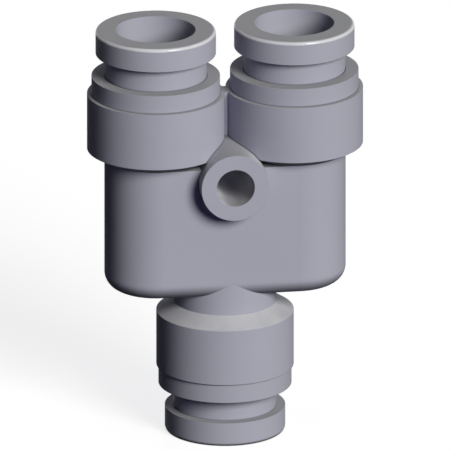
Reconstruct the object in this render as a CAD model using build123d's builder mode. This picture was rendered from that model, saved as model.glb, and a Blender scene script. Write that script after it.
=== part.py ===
from build123d import *
import os
from typing import NamedTuple

# Push-in Y connector for plastic tube: one moulded body and, in each of its three ports, the same
# cartridge of a release button, a collet, a chuck, a guide ring and a lip seal. It stands on the
# flange of its bottom button. Lengths are millimetres. Heights are above the bottom port's face,
# and depths run inward along a port's axis from that port's own face. A wall, step, ledge or
# clearance is measured on the radius.

# Tube and the bore that takes it
tube_diameter = 12.0
tube_clearance = 0.08

# Release button
button_wall = 1.72
flange_overhang = 1.4
flange_thickness = 3.7
flange_edge_radius = 0.5
snap_height = 0.4
snap_length = 0.85
snap_play = 0.05
nose_root_wall = 1.0
nose_tip_wall = 0.5

# Button travel, free until the nose meets the claws and opens them over the last stretch
button_gap = 3.65
home_gap = 0.1
claw_opening = 0.55

# Collet
lip_thickness = 1.25
neck_clearance = 0.06
snap_clearance = 0.1
spigot_wall = 0.75
upper_ring_step = 0.77
lower_ring_step = 1.12
upper_ring_length = 2.85
lower_ring_length = 3.0

# Chuck
claw_count = 12
claw_bite = 0.2
claw_slope = 0.75
claw_slot_width = 0.6
chuck_thickness = 0.25
chuck_setback = 0.15
rim_step = 0.1

# Guide ring
claw_room = 0.1
guide_clearance = 0.06
guide_cone_length = 2.6
guide_land_length = 0.85

# Lip seal
seal_section = 1.92
seal_length = 2.2
seal_heel = 0.9
seal_play = 0.04
lip_bite = 0.18
lip_wall = 0.5

# Moulded body
press_clearance = 0.03
housing_wall = 1.42
housing_gap = 0.4
seal_shoulder_overlap = 0.1
upper_shoulder_length = 1.35
lower_shoulder_length = 1.65
socket_length = 2.8
socket_wall = 1.77
stop_side_ledge = 0.28
stop_front_ledge = 1.9
passage_overlap = 0.9
passage_floor = 3.7
neck_length = 2.55
neck_inset = 0.01
block_height = 21.1
block_edge_radius = 2.6
web_thickness = 2.9

# Mounting boss, through the body from front to back
boss_diameter = 10.5
boss_hole_diameter = 5.9
boss_projection = 2.95
boss_drop = 2.1
boss_hole_wall = 1.3

# Radii about a port's axis
bore_radius = tube_diameter / 2 + tube_clearance
neck_radius = bore_radius + button_wall
flange_radius = neck_radius + flange_overhang
snap_radius = neck_radius + snap_height
nose_root_radius = bore_radius + nose_root_wall
nose_tip_radius = bore_radius + nose_tip_wall
lip_radius = neck_radius + neck_clearance
pocket_radius = snap_radius + snap_clearance
spigot_radius = pocket_radius + spigot_wall
claw_root_radius = pocket_radius - rim_step
claw_tip_radius = tube_diameter / 2 - claw_bite
guide_radius = bore_radius + guide_clearance
guide_mouth_radius = pocket_radius + claw_room
cartridge_radius = spigot_radius + press_clearance
housing_radius = cartridge_radius + housing_wall
seal_bore_radius = bore_radius + seal_section
block_radius = bore_radius + socket_wall

# Depths from a port's face, with the button standing out
button_travel = button_gap - home_gap
ring_depth = flange_thickness + button_gap
lip_depth = ring_depth + lip_thickness
snap_depth = lip_depth + snap_play
snap_end_depth = snap_depth + snap_length
nose_root_depth = snap_end_depth + snap_radius - nose_root_radius
chuck_depth = snap_end_depth + button_travel + chuck_setback
claw_tip_depth = chuck_depth + (claw_root_radius - claw_tip_radius) * claw_slope
claw_meeting_depth = chuck_depth + (claw_root_radius - nose_tip_radius) * claw_slope
nose_depth = claw_meeting_depth + claw_opening - button_travel
guide_depth = chuck_depth + chuck_thickness
guide_land_depth = guide_depth + guide_cone_length
seal_depth = guide_land_depth + guide_land_length
seal_end_depth = seal_depth + seal_length + 2 * seal_play
tube_stop_depth = seal_end_depth + socket_length
housing_end_depth = seal_end_depth - seal_shoulder_overlap
upper_shoulder_depth = housing_end_depth + upper_shoulder_length
lower_shoulder_depth = housing_end_depth + lower_shoulder_length

# Heights above the bottom port's face
block_bottom = lower_shoulder_depth + neck_length
block_top = block_bottom + block_height
overall_height = block_top + upper_shoulder_depth
boss_height = block_top - boss_drop
lower_passage_top = boss_height - boss_hole_diameter / 2 - boss_hole_wall
upper_passage_bottom = block_bottom + passage_floor

# The two upper ports stand side by side, one housing gap apart
port_spacing = 2 * housing_radius + housing_gap
upper_passage_radius = bore_radius - stop_side_ledge
lower_passage_radius = port_spacing / 2 - upper_passage_radius + passage_overlap
passage_width = 2 * (bore_radius - stop_front_ledge)


class Port(NamedTuple):
    """A tube port: where its face is, and what its collet shows outside the housing."""

    name: str
    x: float
    height: float
    inward: int
    ring_step: float
    ring_length: float

    @property
    def axis(self):
        """The port's axis, pointing inward from the centre of its face."""
        return Axis((self.x, 0, self.height), (0, 0, self.inward))

    @property
    def section(self):
        """The plane of a half section, with radius along X and depth along Y."""
        return Plane((self.x, 0, self.height), x_dir=(1, 0, 0), z_dir=(0, -self.inward, 0))

    @property
    def mouth_depth(self):
        """The depth at which the housing begins, under the collet's ring."""
        return ring_depth + self.ring_length


ports = [
    Port("left", -port_spacing / 2, overall_height, -1, upper_ring_step, upper_ring_length),
    Port("right", port_spacing / 2, overall_height, -1, upper_ring_step, upper_ring_length),
    Port("bottom", 0, 0, 1, lower_ring_step, lower_ring_length),
]
left_port, right_port, bottom_port = ports


# Release button: a flanged sleeve that a snap rim keeps in the collet, with a tapered nose
def make_release_button(port):
    with BuildPart() as button:
        with BuildSketch(port.section):
            with BuildLine():
                Polyline(
                    (bore_radius, 0),
                    (flange_radius, 0),
                    (flange_radius, flange_thickness),
                    (neck_radius, flange_thickness),
                    (neck_radius, snap_depth),
                    (snap_radius, snap_depth),
                    (snap_radius, snap_end_depth),
                    (nose_root_radius, nose_root_depth),
                    (nose_tip_radius, nose_depth),
                    (bore_radius, nose_depth),
                    close=True,
                )
            make_face()
        revolve(axis=port.axis)
        outer_face = button.faces().sort_by(port.axis)[0]
        fillet(outer_face.edges().sort_by(SortBy.RADIUS)[-1], flange_edge_radius)
    return button


# Collet: the ring seen between button and housing, its lip behind it and its pressed-in spigot
def make_collet(port):
    ring_radius = spigot_radius + port.ring_step
    with BuildPart() as collet:
        with BuildSketch(port.section):
            with BuildLine():
                Polyline(
                    (lip_radius, ring_depth),
                    (ring_radius, ring_depth),
                    (ring_radius, port.mouth_depth),
                    (spigot_radius, port.mouth_depth),
                    (spigot_radius, chuck_depth),
                    (pocket_radius, chuck_depth),
                    (pocket_radius, lip_depth),
                    (lip_radius, lip_depth),
                    close=True,
                )
            make_face()
        revolve(axis=port.axis)
    return collet


# Chuck: a thin sprung ring, clamped by its rim, whose slotted cone of claws bites the tube. The
# claws are cut off square to the axis, which leaves each a sharp inner edge
def make_chuck(port):
    cone_thickness = chuck_thickness * (1 + claw_slope**2) ** 0.5
    back_root_radius = claw_root_radius + (cone_thickness - chuck_thickness) / claw_slope
    back_tip_radius = claw_tip_radius + cone_thickness / claw_slope
    slot_plane = Plane(port.axis.position, x_dir=(1, 0, 0), z_dir=port.axis.direction)
    with BuildPart() as chuck:
        with BuildSketch(port.section):
            with BuildLine():
                Polyline(
                    (spigot_radius, chuck_depth),
                    (claw_root_radius, chuck_depth),
                    (claw_tip_radius, claw_tip_depth),
                    (back_tip_radius, claw_tip_depth),
                    (back_root_radius, guide_depth),
                    (spigot_radius, guide_depth),
                    close=True,
                )
            make_face()
        revolve(axis=port.axis)
        with BuildSketch(slot_plane.offset(chuck_depth)):
            with PolarLocations(0, claw_count):
                Rectangle(claw_root_radius, claw_slot_width, align=(Align.MIN, Align.CENTER))
        extrude(amount=seal_depth - chuck_depth, mode=Mode.SUBTRACT)
    return chuck


# Guide ring: clamps the chuck's rim, backs the open claws and steers the tube into the seal
def make_guide_ring(port):
    with BuildPart() as guide_ring:
        with BuildSketch(port.section):
            with BuildLine():
                Polyline(
                    (guide_mouth_radius, guide_depth),
                    (spigot_radius, guide_depth),
                    (spigot_radius, seal_depth),
                    (guide_radius, seal_depth),
                    (guide_radius, guide_land_depth),
                    close=True,
                )
            make_face()
        revolve(axis=port.axis)
    return guide_ring


# Lip seal: a rubber heel with an outer wall and a lip that leans onto the tube
def make_lip_seal(port):
    outer_radius = seal_bore_radius - seal_play
    heel_depth = seal_depth + seal_play
    lip_radius_in = tube_diameter / 2 - lip_bite
    tip_depth = heel_depth + seal_length
    groove_depth = heel_depth + seal_heel
    with BuildPart() as lip_seal:
        with BuildSketch(port.section):
            with BuildLine():
                Polyline(
                    (guide_radius, heel_depth),
                    (outer_radius, heel_depth),
                    (outer_radius, tip_depth),
                    (outer_radius - lip_wall, tip_depth),
                    ((guide_radius + outer_radius) / 2, groove_depth),
                    (lip_radius_in + lip_wall, tip_depth),
                    (lip_radius_in, tip_depth),
                    close=True,
                )
            make_face()
        revolve(axis=port.axis)
    return lip_seal


# Body: a flat block with half-round ends that carries three round housings and a mounting boss
def make_body():
    boss_length = 2 * (block_radius + boss_projection)
    with BuildPart() as body:
        with BuildSketch(Plane.XY.offset(block_bottom)):
            SlotCenterToCenter(port_spacing, 2 * block_radius)
        extrude(amount=block_height)
        fillet(body.faces().sort_by(Axis.Z)[0].edges(), block_edge_radius)

        # The neck under the block meets the rounded edge in a pointed arch at the front and back
        with BuildSketch(Plane.XY.offset(lower_shoulder_depth)):
            Circle(block_radius - neck_inset)
        extrude(amount=neck_length + block_edge_radius)

        # Each housing is a cylinder that tapers to the block or to the neck
        for port in ports:
            shoulder_depth = lower_shoulder_depth if port is bottom_port else upper_shoulder_depth
            with BuildSketch(port.section):
                with BuildLine():
                    Polyline(
                        (0, port.mouth_depth),
                        (housing_radius, port.mouth_depth),
                        (housing_radius, housing_end_depth),
                        (block_radius, shoulder_depth),
                        (0, shoulder_depth),
                        close=True,
                    )
                make_face()
            revolve(axis=port.axis)

        # A web closes the gap between the two upper housings
        with BuildSketch(Plane.XY.offset(block_top)):
            Rectangle(port_spacing, web_thickness)
        extrude(amount=upper_shoulder_depth - left_port.mouth_depth)

        with BuildSketch(Plane.XZ):
            with Locations((0, boss_height)):
                Circle(boss_diameter / 2)
        extrude(amount=boss_length / 2, both=True)

        # Each port is bored in steps for the cartridge, the seal and the end of the tube
        for port in ports:
            with BuildSketch(port.section):
                with BuildLine():
                    Polyline(
                        (0, port.mouth_depth),
                        (cartridge_radius, port.mouth_depth),
                        (cartridge_radius, seal_depth),
                        (seal_bore_radius, seal_depth),
                        (seal_bore_radius, seal_end_depth),
                        (bore_radius, seal_end_depth),
                        (bore_radius, tube_stop_depth),
                        (0, tube_stop_depth),
                        close=True,
                    )
                make_face()
            revolve(axis=port.axis, mode=Mode.SUBTRACT)

        # The flow passages have flat sides, which leave the ledges that stop the tubes
        for port in (left_port, right_port):
            with BuildSketch(Plane((port.x, 0, upper_passage_bottom))):
                Circle(upper_passage_radius)
                Rectangle(2 * upper_passage_radius, passage_width, mode=Mode.INTERSECT)
            extrude(amount=overall_height - tube_stop_depth - upper_passage_bottom, mode=Mode.SUBTRACT)
        with BuildSketch(Plane.XY.offset(tube_stop_depth)):
            Circle(lower_passage_radius)
            Rectangle(2 * lower_passage_radius, passage_width, mode=Mode.INTERSECT)
        extrude(amount=lower_passage_top - tube_stop_depth, mode=Mode.SUBTRACT)

        with BuildSketch(Plane.XZ):
            with Locations((0, boss_height)):
                Circle(boss_hole_diameter / 2)
        extrude(amount=boss_length / 2, both=True, mode=Mode.SUBTRACT)
    return body


cartridge_makers = {
    "release_button": make_release_button,
    "collet": make_collet,
    "chuck": make_chuck,
    "guide_ring": make_guide_ring,
    "lip_seal": make_lip_seal,
}

os.makedirs("parts", exist_ok=True)

body = make_body()
body.part.label = "body"
export_step(body.part, "parts/body.step")

for port in ports:
    for piece_name, make_piece in cartridge_makers.items():
        piece = make_piece(port)
        piece.part.label = f"{port.name}_{piece_name}"
        export_step(piece.part, f"parts/{piece.part.label}.step")
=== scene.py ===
import math
from typing import NamedTuple

import bmesh
import bpy
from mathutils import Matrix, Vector


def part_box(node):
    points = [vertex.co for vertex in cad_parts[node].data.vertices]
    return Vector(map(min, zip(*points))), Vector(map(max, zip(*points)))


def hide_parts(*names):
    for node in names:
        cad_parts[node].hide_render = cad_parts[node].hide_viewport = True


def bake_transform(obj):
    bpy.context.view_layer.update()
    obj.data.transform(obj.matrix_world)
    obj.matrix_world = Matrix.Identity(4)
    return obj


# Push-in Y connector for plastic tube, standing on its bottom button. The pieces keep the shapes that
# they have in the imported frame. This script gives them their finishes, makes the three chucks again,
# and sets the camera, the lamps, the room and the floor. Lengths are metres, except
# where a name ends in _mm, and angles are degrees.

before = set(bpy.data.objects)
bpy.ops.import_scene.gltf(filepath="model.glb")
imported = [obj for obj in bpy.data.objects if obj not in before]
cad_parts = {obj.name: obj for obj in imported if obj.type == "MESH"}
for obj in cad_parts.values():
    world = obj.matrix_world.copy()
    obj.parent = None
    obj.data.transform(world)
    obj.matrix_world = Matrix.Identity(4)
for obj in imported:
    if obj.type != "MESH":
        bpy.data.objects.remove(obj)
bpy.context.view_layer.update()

# The camera has no perspective and stands a little left of the front, looking down
camera_azimuth = -8.7
camera_elevation = 19.47
camera_distance = 0.6
picture_width = 0.0687
aim_height = 0.0326

# One large soft lamp stands right of the camera, so the part's left side is dark, and a weak cool
# one stands low beside the camera. A weak one overhead shines into the upper bores. Another low one,
# opposite the camera, lights only the back, and no gloss shows it.
# A level is the share of white at which a white surface that faces the lamp renders.
softness = 26


class Lamp(NamedTuple):
    """A far, soft lamp. Its bearing is measured from the camera's, to the right."""

    name: str
    bearing: float
    elevation: float
    level: float
    colour: str
    shows_in_gloss: bool


lamps = [
    Lamp("main_softbox", 34, 27, 1.1, "FFFFF8", True),
    Lamp("cool_fill", 6, 4, 0.08, "7E7EE6", True),
    Lamp("top_softbox", 0, 86, 0.07, "FFFFFF", True),
    Lamp("back_softbox", 180, 6, 0.75, "F4F6FF", False),
]

# The room that lights the part is nearly black
dim_room_colour = "8E8EA0"
dim_room_level = 0.018

# The floor looks white to the eye and throws little light up
floor_half_width = 3.0
floor_drop = 0.00001
floor_seen_share = 0.3
floor_bounce_share = 0.05

# The glow that makes it look white fades where the openness above it, within a reach of 25 mm, falls
# from the first share to the second, so it is dark inside the bottom button's bore: a painted shade there
# and under the part
glow_reach = 0.025
full_glow_openness = 0.4
no_glow_openness = 0.2
glow_samples = 32

# Chuck, with the sizes of the imported solid and 8 facets across each claw
claw_count = 12
claw_slot_width_mm = 0.6
claw_root_radius_mm = 8.2
claw_tip_radius_mm = 5.8
chuck_thickness_mm = 0.25
claw_steps = 8
sharp_edge_angle = 30


def linear(hex_colour):
    """An sRGB hex colour as linear red, green, blue and alpha."""
    shares = [int(hex_colour[i : i + 2], 16) / 255 for i in (0, 2, 4)]
    return [s / 12.92 if s <= 0.04045 else ((s + 0.055) / 1.055) ** 2.4 for s in shares] + [1.0]


def add(tree, kind, inputs=None, **settings):
    """Adds a node. Settings are its own, and inputs give each socket a value or another's output."""
    node = tree.nodes.new("ShaderNode" + kind)
    for name, value in settings.items():
        setattr(node, name, value)
    for socket, value in (inputs or {}).items():
        if isinstance(value, bpy.types.NodeSocket):
            tree.links.new(value, node.inputs[socket])
        else:
            node.inputs[socket].default_value = value
    return node


def pattern_scale(size_mm):
    """The scale at which a texture's features are about size_mm across on a piece in metres."""
    return 1000 / size_mm


def direction(azimuth, elevation):
    """The unit vector from the part towards an azimuth, 0 at the front and 90 at +X."""
    a, e = math.radians(azimuth), math.radians(elevation)
    return Vector((math.sin(a) * math.cos(e), -math.cos(a) * math.cos(e), math.sin(e)))


def seen_share(tree):
    """1 on rays by which the eye sees a surface, straight or in gloss or glass, and 0 on others."""
    path = add(tree, "LightPath").outputs
    direct = add(tree, "Math", {0: path["Is Camera Ray"], 1: path["Is Glossy Ray"]}, operation="MAXIMUM")
    return add(
        tree, "Math", {0: direct.outputs[0], 1: path["Is Transmission Ray"]}, operation="MAXIMUM"
    ).outputs[0]


# Finishes


def moulded_plastic(name, colour, flow_colour, rubbed_highlight_colour, roughness, grain_depth_mm, wear_and_highlight, polish):
    """A plastic moulded in a spark-eroded tool: matt, with faint flow marks, and painted shade in corners
    and on undersides.

    Hands rub its rims and upper slopes, which also carry a painted highlight. The wear share says how far
    the wear and the painted highlight make them paler, and polish how far rubbing has made them glossy, both
    from 0 to 1.
    Dust lies on its level faces, and its darker, neutral grey there is also painted shade.
    """
    painted_shade_colour = "303038"
    dust_and_top_shade_colour = "92928D"
    material = bpy.data.materials.new(name)
    material.use_nodes = True
    tree = material.node_tree
    shader = tree.nodes["Principled BSDF"]
    place = add(tree, "TexCoord").outputs["Object"]

    # How far a face looks up: 1 is straight up, 0 is sideways and -1 is straight down
    normal = add(tree, "NewGeometry").outputs["Normal"]
    upward = add(tree, "SeparateXYZ", {"Vector": normal}).outputs["Z"]

    # Sharp edges are moulded with a radius of about 0.12 mm
    edge_radius_mm = 0.12
    rounded = add(tree, "Bevel", {"Radius": edge_radius_mm / 1000}, samples=6).outputs["Normal"]

    # The melt's flow leaves broad clouds about 9 mm across
    cloud_mm = 9
    flow = add(
        tree, "TexNoise", {"Vector": place, "Scale": pattern_scale(cloud_mm), "Detail": 2.0}
    ).outputs["Fac"]
    clouded = add(
        tree, "MixRGB", {"Fac": flow, "Color1": linear(colour), "Color2": linear(flow_colour)}
    ).outputs["Color"]

    # Painted shade: within 0.35 mm of the inner corners and where two pieces meet, the colour is darkened as
    # shade falls there
    corner_mm = 0.35
    corner_shade = 0.75
    unshaded_openness, shaded_openness = 0.85, 0.35
    openness = add(tree, "AmbientOcclusion", {"Distance": corner_mm / 1000}, samples=8).outputs["AO"]
    corner_range = {
        "Value": openness,
        "From Min": shaded_openness,
        "From Max": unshaded_openness,
        "To Min": corner_shade,
        "To Max": 0.0,
    }
    in_corners = add(tree, "MapRange", corner_range).outputs["Result"]

    # The painted shade also darkens the undersides, which face away from the lamps
    under_shade = 0.7
    unshaded_tilt, shaded_tilt = -0.1, -0.7
    under_range = {"Value": upward, "From Min": unshaded_tilt, "From Max": shaded_tilt, "To Max": under_shade}
    under = add(tree, "MapRange", under_range).outputs["Result"]
    painted_shade = add(tree, "Math", {0: in_corners, 1: under}, operation="MAXIMUM").outputs[0]
    shaded = add(
        tree, "MixRGB", {"Fac": painted_shade, "Color1": clouded, "Color2": linear(painted_shade_colour)}
    ).outputs["Color"]

    # A rim or slope is where the surface faces neither straight up nor sideways. There wear and a painted
    # highlight make the colour paler, unevenly, in patches about 2.5 mm across
    patch_mm = 2.5
    weakest_patch, strongest_patch = 0.35, 0.6
    least_share = 0.6
    full_slope = 0.15
    across = add(tree, "Math", {0: 1.0, 1: upward}, operation="SUBTRACT").outputs[0]
    slope = add(tree, "Math", {0: upward, 1: across}, operation="MULTIPLY").outputs[0]
    patches = add(
        tree, "TexNoise", {"Vector": place, "Scale": pattern_scale(patch_mm), "Detail": 3.0}
    ).outputs["Fac"]
    patch_range = {"Value": patches, "From Min": weakest_patch, "From Max": strongest_patch, "To Min": least_share}
    evenness = add(tree, "MapRange", patch_range).outputs["Result"]
    rub_and_highlight = add(tree, "Math", {0: slope, 1: evenness}, operation="MULTIPLY").outputs[0]
    wear_and_highlight_range = {"Value": rub_and_highlight, "From Max": full_slope, "To Max": wear_and_highlight}
    wear_and_highlight_share = add(tree, "MapRange", wear_and_highlight_range).outputs["Result"]
    worn_and_highlit = add(
        tree, "MixRGB", {"Fac": wear_and_highlight_share, "Color1": shaded, "Color2": linear(rubbed_highlight_colour)}
    ).outputs["Color"]

    # A film of grey dust lies on the faces that look straight up and hides half their colour; its darker,
    # neutral grey is also painted shade on these tops
    dust_and_shade_cover = 0.5
    uncovered_tilt, covered_tilt = 0.85, 0.97
    top_cover_range = {"Value": upward, "From Min": uncovered_tilt, "From Max": covered_tilt, "To Max": dust_and_shade_cover}
    dust_and_top_shade = add(tree, "MapRange", top_cover_range).outputs["Result"]
    finished = add(
        tree, "MixRGB", {"Fac": dust_and_top_shade, "Color1": worn_and_highlit, "Color2": linear(dust_and_top_shade_colour)}
    ).outputs["Color"]

    # Real spark-eroded grain is about 0.08 mm across, and is drawn at 0.3 mm so that it shows
    grain_mm = 0.3
    grain = add(
        tree, "TexNoise", {"Vector": place, "Scale": pattern_scale(grain_mm), "Detail": 2.0}
    ).outputs["Fac"]
    relief = add(
        tree, "Bump", {"Height": grain, "Distance": grain_depth_mm / 1000, "Normal": rounded}
    ).outputs["Normal"]

    # The clouds are also a little glossier or duller
    roughness_spread = 0.04
    glossy_cloud, dull_cloud = 0.3, 0.7
    gloss_range = {
        "Value": flow,
        "From Min": glossy_cloud,
        "From Max": dull_cloud,
        "To Min": roughness - roughness_spread,
        "To Max": roughness + roughness_spread,
    }
    dullness = add(tree, "MapRange", gloss_range).outputs["Result"]

    tree.links.new(finished, shader.inputs["Base Color"])
    tree.links.new(dullness, shader.inputs["Roughness"])
    tree.links.new(relief, shader.inputs["Normal"])

    # The grain scatters nearly all of the plastic's own gloss
    shader.inputs["IOR"].default_value = 1.5
    shader.inputs["Specular IOR Level"].default_value = 0.02

    # Where hands have polished the grain away, a gloss shows
    if polish:
        polish_range = {"Value": rub_and_highlight, "From Max": full_slope, "To Max": polish}
        polished = add(tree, "MapRange", polish_range).outputs["Result"]
        tree.links.new(polished, shader.inputs["Coat Weight"])
        shader.inputs["Coat Roughness"].default_value = 0.26
    return material


def rolled_spring_steel():
    """Stainless steel strip, cold rolled and stamped: a bright metal with fine straight lines."""
    material = bpy.data.materials.new("rolled_stainless_spring_steel")
    material.use_nodes = True
    tree = material.node_tree
    shader = tree.nodes["Principled BSDF"]
    place = add(tree, "TexCoord").outputs["Object"]

    # Rolling lines are about 0.02 mm apart, drawn 0.12 mm apart so that they show, and 8 mm long
    line_length_mm = 8
    line_pitch_mm = 0.12
    line_depth_mm = 0.002
    bright_roughness, dull_roughness = 0.22, 0.4
    across_lines = pattern_scale(line_pitch_mm)
    stretch = (pattern_scale(line_length_mm), across_lines, across_lines)
    along_strip = add(tree, "Mapping", {"Vector": place, "Scale": stretch}).outputs["Vector"]
    lines = add(tree, "TexNoise", {"Vector": along_strip, "Scale": 1.0, "Detail": 2.0}).outputs["Fac"]
    colour = add(
        tree, "MixRGB", {"Fac": lines, "Color1": linear("B9B6B1"), "Color2": linear("CFCCC7")}
    ).outputs["Color"]
    dull_range = {"Value": lines, "To Min": bright_roughness, "To Max": dull_roughness}
    dullness = add(tree, "MapRange", dull_range).outputs["Result"]
    relief = add(tree, "Bump", {"Height": lines, "Distance": line_depth_mm / 1000}).outputs["Normal"]

    tree.links.new(colour, shader.inputs["Base Color"])
    tree.links.new(dullness, shader.inputs["Roughness"])
    tree.links.new(relief, shader.inputs["Normal"])
    shader.inputs["Metallic"].default_value = 1.0
    return material


def moulded_rubber():
    """Black nitrile rubber, moulded matt, with the grey bloom that rises to such a surface."""
    material = bpy.data.materials.new("moulded_nitrile_rubber")
    material.use_nodes = True
    tree = material.node_tree
    shader = tree.nodes["Principled BSDF"]
    place = add(tree, "TexCoord").outputs["Object"]

    # The bloom stands in patches about 2.5 mm across
    patch_mm = 2.5
    bare_patch, bloomed_patch = 0.35, 0.75
    bloom = add(tree, "TexNoise", {"Vector": place, "Scale": pattern_scale(patch_mm), "Detail": 4.0})
    bloom_range = {"Value": bloom.outputs["Fac"], "From Min": bare_patch, "From Max": bloomed_patch}
    bloom_share = add(tree, "MapRange", bloom_range)
    colour = add(
        tree,
        "MixRGB",
        {"Fac": bloom_share.outputs["Result"], "Color1": linear("1E1E20"), "Color2": linear("343438")},
    ).outputs["Color"]

    # The mould leaves a grain about 0.05 mm across, drawn at 0.2 mm so that it shows
    grain_mm = 0.2
    grain_depth_mm = 0.008
    grain = add(tree, "TexNoise", {"Vector": place, "Scale": pattern_scale(grain_mm), "Detail": 2.0})
    grain_relief = {"Height": grain.outputs["Fac"], "Distance": grain_depth_mm / 1000}
    relief = add(tree, "Bump", grain_relief).outputs["Normal"]

    tree.links.new(colour, shader.inputs["Base Color"])
    tree.links.new(relief, shader.inputs["Normal"])
    shader.inputs["Roughness"].default_value = 0.72
    shader.inputs["IOR"].default_value = 1.52
    return material


# Each kind of piece, by the end of its node's name
finishes = {
    # Satin PBT: the dullest and most grained of the plastics, pale where hands rub it and where a highlight
    # is painted on its rims and upper slopes
    "body": moulded_plastic(
        "moulded_pbt_satin",
        colour="A4A4B2",
        flow_colour="A0A0AF",
        rubbed_highlight_colour="C6C6C6",
        roughness=0.75,
        grain_depth_mm=0.012,
        wear_and_highlight=0.65,
        polish=0.0,
    ),
    # Acetal: a slippery plastic, which fingers have polished to a shine on the rims, which also carry a pale
    # painted highlight
    "release_button": moulded_plastic(
        "moulded_acetal",
        colour="A4A4B2",
        flow_colour="A1A1AF",
        rubbed_highlight_colour="D0D0D4",
        roughness=0.6,
        grain_depth_mm=0.007,
        wear_and_highlight=0.8,
        polish=0.9,
    ),
    # Smooth PBT: a fine grain, hardly rubbed, because the button's flange keeps fingers off, so its rims get
    # only a faint pale painted highlight
    "collet": moulded_plastic(
        "moulded_pbt_smooth",
        colour="A3A3B1",
        flow_colour="A0A0AE",
        rubbed_highlight_colour="B2B2BC",
        roughness=0.7,
        grain_depth_mm=0.009,
        wear_and_highlight=0.3,
        polish=0.0,
    ),
    # Nylon without pigment: a warm ivory, with the finest grain of the plastics
    "guide_ring": moulded_plastic(
        "moulded_nylon",
        colour="D9D6CC",
        flow_colour="D2CEC2",
        rubbed_highlight_colour="DFDCD3",
        roughness=0.6,
        grain_depth_mm=0.003,
        wear_and_highlight=0.3,
        polish=0.0,
    ),
    "chuck": rolled_spring_steel(),
    "lip_seal": moulded_rubber(),
}
for node_name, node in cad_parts.items():
    kind = next(k for k in finishes if node_name.endswith(k))
    for slot in node.material_slots:
        slot.material = finishes[kind]

# Chucks: a pressed button's nose pushes the claws inward, so each chuck bends between the fitting
# and its button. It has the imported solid's form, in which no point lies between root and tip


def slot_angle(radius_mm):
    """Half the angle that a slot between two claws takes up at a radius."""
    return math.asin(claw_slot_width_mm / 2 / radius_mm)


def make_chuck(port, inward):
    """The chuck of a port, whose axis points inward, which is 1 for up and -1 for down."""
    low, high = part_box(f"{port}_chuck")
    centre_x = (low.x + high.x) / 2
    front_z = low.z if inward > 0 else high.z
    claw_depth_mm = 1000 * (high.z - low.z)
    rim_radius_mm = 1000 * (high.x - low.x) / 2
    slope = claw_depth_mm / (claw_root_radius_mm - claw_tip_radius_mm)
    cone_thickness_mm = chuck_thickness_mm * math.hypot(1, slope)
    back_root_radius_mm = claw_root_radius_mm + (cone_thickness_mm - chuck_thickness_mm) / slope
    back_tip_radius_mm = claw_tip_radius_mm + cone_thickness_mm / slope

    # One section runs from the claw's front root over its tip and round the rim, as radius, depth
    # and the radius at which its slot is measured
    section = [
        (claw_root_radius_mm, 0, claw_root_radius_mm),
        (claw_tip_radius_mm, claw_depth_mm, claw_tip_radius_mm),
        (back_tip_radius_mm, claw_depth_mm, back_tip_radius_mm),
        (back_root_radius_mm, chuck_thickness_mm, claw_root_radius_mm),
        (rim_radius_mm, chuck_thickness_mm, claw_root_radius_mm),
        (rim_radius_mm, 0, claw_root_radius_mm),
    ]
    front_root, front_tip, back_tip, back_root, back_rim, front_rim = range(len(section))
    pitch = 2 * math.pi / claw_count
    mesh = bmesh.new()
    rows = []
    for claw in range(claw_count):
        for step in range(claw_steps + 1):
            row = []
            for radius_mm, depth_mm, slot_radius_mm in section:
                edge = slot_angle(slot_radius_mm)
                turn = claw * pitch + edge + (pitch - 2 * edge) * step / claw_steps
                x = centre_x + radius_mm / 1000 * math.cos(turn)
                y = radius_mm / 1000 * math.sin(turn)
                row.append(mesh.verts.new((x, y, front_z + inward * depth_mm / 1000)))
            rows.append(row)

    # A strip of claw and rim joins two rows, and between two claws only the rim goes on
    for index, row in enumerate(rows):
        after = rows[(index + 1) % len(rows)]
        if (index + 1) % (claw_steps + 1):
            outline = [front_root, front_tip, back_tip, back_root, back_rim, front_rim]
        else:
            outline = [front_root, back_root, back_rim, front_rim]
            mesh.faces.new([row[k] for k in (front_root, front_tip, back_tip, back_root)])
            mesh.faces.new([after[k] for k in (back_root, back_tip, front_tip, front_root)])
        for one, other in zip(outline, outline[1:] + outline[:1]):
            mesh.faces.new([row[one], after[one], after[other], row[other]])
    bmesh.ops.recalc_face_normals(mesh, faces=mesh.faces)

    data = bpy.data.meshes.new(f"{port}_sprung_chuck")
    mesh.to_mesh(data)
    mesh.free()
    for face in data.polygons:
        face.use_smooth = True
    data.set_sharp_from_angle(angle=math.radians(sharp_edge_angle))
    data.materials.append(finishes["chuck"])
    chuck = bpy.data.objects.new(f"{port}_sprung_chuck", data)
    bpy.context.scene.collection.objects.link(chuck)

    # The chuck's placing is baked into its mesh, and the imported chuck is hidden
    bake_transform(chuck)
    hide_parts(f"{port}_chuck")


for port, inward in (("left", -1), ("right", -1), ("bottom", 1)):
    make_chuck(port, inward)

# Camera
camera_data = bpy.data.cameras.new("camera")
camera_data.type = "ORTHO"
camera_data.ortho_scale = picture_width
camera = bpy.data.objects.new("camera", camera_data)
bpy.context.scene.collection.objects.link(camera)
bpy.context.scene.camera = camera
toward_camera = direction(camera_azimuth, camera_elevation)
camera.location = Vector((0, 0, aim_height)) + camera_distance * toward_camera
camera.rotation_euler = toward_camera.to_track_quat("Z", "Y").to_euler()

# Lamps
for lamp in lamps:
    lamp_data = bpy.data.lights.new(lamp.name, "SUN")
    lamp_data.energy = lamp.level * math.pi
    lamp_data.angle = math.radians(softness)
    lamp_data.color = linear(lamp.colour)[:3]
    light = bpy.data.objects.new(lamp.name, lamp_data)
    light.visible_glossy = lamp.shows_in_gloss
    bpy.context.scene.collection.objects.link(light)
    toward_lamp = direction(camera_azimuth + lamp.bearing, lamp.elevation)
    light.location = toward_lamp
    light.rotation_euler = toward_lamp.to_track_quat("Z", "Y").to_euler()

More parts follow.
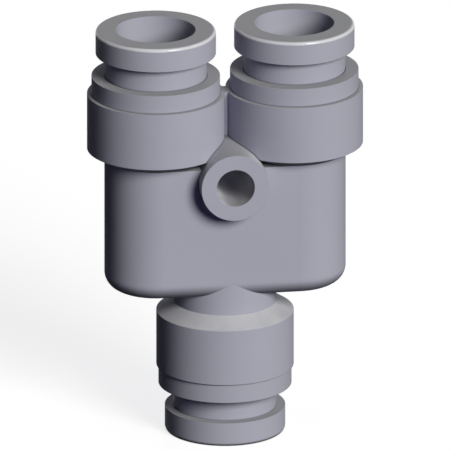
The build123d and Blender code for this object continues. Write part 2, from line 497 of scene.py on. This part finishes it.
# The room is white to the eye and dim to the part
world = bpy.data.worlds.new("room")
bpy.context.scene.world = world
world.use_nodes = True
world.cycles.sampling_method = "NONE"
room = world.node_tree
dim = [dim_room_level * share for share in linear(dim_room_colour)[:3]] + [1.0]
room_look = {"Fac": seen_share(room), "Color1": dim, "Color2": linear("FFFFFF")}
room_colour = add(room, "MixRGB", room_look).outputs["Color"]
room.links.new(room_colour, room.nodes["Background"].inputs["Color"])

# Floor: what the lamps don't give it to look white, it gives itself, so it keeps the shadow
glow_colour = [1.0] * 4
for lamp in lamps:
    lit_share = floor_seen_share * lamp.level * math.sin(math.radians(lamp.elevation))
    for channel in range(3):
        glow_colour[channel] -= lit_share * linear(lamp.colour)[channel]
floor_paint = bpy.data.materials.new("matt_white_paint")
floor_paint.use_nodes = True
floor_paint.cycles.emission_sampling = "NONE"
paint = floor_paint.node_tree
paint.nodes.remove(paint.nodes["Principled BSDF"])
seen_floor = add(paint, "BsdfDiffuse", {"Color": [floor_seen_share] * 3 + [1.0]})
openness = add(paint, "AmbientOcclusion", {"Distance": glow_reach}, samples=glow_samples).outputs["AO"]
glow_range = {"Value": openness, "From Min": no_glow_openness, "From Max": full_glow_openness}
glow_strength = add(paint, "MapRange", glow_range).outputs["Result"]
glow = add(paint, "Emission", {"Color": glow_colour, "Strength": glow_strength})
shown = add(paint, "AddShader", {0: seen_floor.outputs[0], 1: glow.outputs[0]})
bounce = add(paint, "BsdfDiffuse", {"Color": [floor_bounce_share] * 3 + [1.0]})
floor_look = add(paint, "MixShader", {0: seen_share(paint), 1: bounce.outputs[0], 2: shown.outputs[0]})
paint.links.new(floor_look.outputs[0], paint.nodes["Material Output"].inputs["Surface"])

floor_mesh = bpy.data.meshes.new("floor")
corner_sides = [(-1, -1), (1, -1), (1, 1), (-1, 1)]
corners = [(x * floor_half_width, y * floor_half_width, -floor_drop) for x, y in corner_sides]
floor_mesh.from_pydata(corners, [], [(0, 1, 2, 3)])
floor_mesh.materials.append(floor_paint)
floor = bpy.data.objects.new("floor", floor_mesh)
bpy.context.scene.collection.objects.link(floor)

bpy.context.scene.view_settings.view_transform = "Standard"
